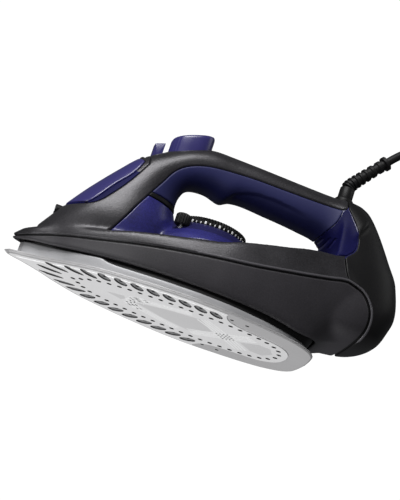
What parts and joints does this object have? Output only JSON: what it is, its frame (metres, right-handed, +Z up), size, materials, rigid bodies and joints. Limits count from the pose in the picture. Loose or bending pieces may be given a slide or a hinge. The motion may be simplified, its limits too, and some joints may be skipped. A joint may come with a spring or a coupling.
{
  "type": "steam iron",
  "caption": "Corded steam iron with a pointed perforated soleplate, a closed handle over a temperature dial, a water tank with a filler door, steam and spray buttons and a swivel mains lead.",
  "frame": {"origin": "On the soleplate's face, on its centre line and about midway along the iron.", "axes": "+X towards the nose, +Y to the left side, +Z up; the soleplate's face lies on z = 0."},
  "size_m": [0.5059, 0.1204, 0.2064],
  "materials": {
    "sole": "satin",
    "casting": "cast",
    "steel": "bright",
    "brass": "bright",
    "silicone": "matte",
    "black_plastic": "satin",
    "charcoal_plastic": "matte, fine texture",
    "gunmetal_plastic": "metallic satin",
    "navy_grip": "soft matte",
    "blue_clear": "clear tinted gloss",
    "blue_gloss": "gloss",
    "clear_plastic": "milky",
    "amber_lens": "clear tinted",
    "cord_rubber": "matte"
  },
  "bodies": {
    "casing": {"soleplate": "sole", "sole_casting": "casting", "heating_element": "steel", "chamber_gasket": "silicone", "chamber_cover": "casting", "heat_skirt": "black_plastic", "lower_shell": "charcoal_plastic", "upper_shell": "gunmetal_plastic", "soft_grip": "navy_grip", "grip_collar": "black_plastic", "water_tank": "blue_clear", "rear_window": "blue_clear", "heel_cover": "black_plastic", "filler_bezel": "blue_gloss", "door_hinge_pin": "steel", "spray_nozzle": "black_plastic", "burst_pump": "clear_plastic", "spray_pump": "clear_plastic", "burst_spring": "steel", "spray_spring": "steel", "thermostat": "steel", "thermal_fuse": "steel", "terminal_block": "clear_plastic", "lead_bundle": "silicone", "pilot_lamp": "amber_lens", "screw_front": "steel", "screw_left": "steel", "screw_right": "steel"},
    "dial": {"temperature_dial": "black_plastic", "thermostat_shaft": "brass"},
    "burst": {"burst_button": "blue_gloss"},
    "spray": {"spray_button": "blue_gloss"},
    "lever": {"steam_lever": "blue_gloss", "steam_valve_rod": "steel"},
    "clean": {"self_clean_knob": "black_plastic", "self_clean_rod": "steel"},
    "door": {"filler_door": "blue_gloss"},
    "cord_set": {"cord_sleeve": "black_plastic", "cord_guard": "cord_rubber", "cord": "cord_rubber", "cord_coil": "cord_rubber", "cord_tail": "cord_rubber", "coil_tie": "black_plastic", "plug_body": "cord_rubber", "plug_pin_left": "brass", "plug_pin_right": "brass"}
  },
  "joints": [
    {"name": "dial_turn", "type": "hinge", "parent": "casing", "child": "dial", "pos_m": [0.007, 0, 0.07], "axis": [0, 0, 1], "range_deg": [-135, 135]},
    {"name": "burst_press", "type": "slide", "parent": "casing", "child": "burst", "axis": [0, 0, -1], "range_m": [0, 0.004], "stiffness_N_per_m": 800, "springref_m": -0.002, "deforming": ["burst_spring"]},
    {"name": "spray_press", "type": "slide", "parent": "casing", "child": "spray", "axis": [0, 0, -1], "range_m": [0, 0.004], "stiffness_N_per_m": 800, "springref_m": -0.002, "deforming": ["spray_spring"]},
    {"name": "lever_swing", "type": "hinge", "parent": "casing", "child": "lever", "pos_m": [0.057, 0, 0.1], "axis": [0, 0, 1], "range_deg": [-15, 15]},
    {"name": "clean_turn", "type": "hinge", "parent": "casing", "child": "clean", "pos_m": [0.035, 0.024, 0.06], "axis": [0, 0, 1], "range_deg": [0, 90]},
    {"name": "door_open", "type": "hinge", "parent": "casing", "child": "door", "pos_m": [0.0771, 0, 0.1057], "axis": [0, -1, 0], "range_deg": [0, 70]},
    {"name": "cord_swivel", "type": "hinge", "parent": "casing", "child": "cord_set", "pos_m": [-0.0845, 0, 0.135], "axis": [0, 0, 1], "range_deg": [-70, 70]}
  ]
}
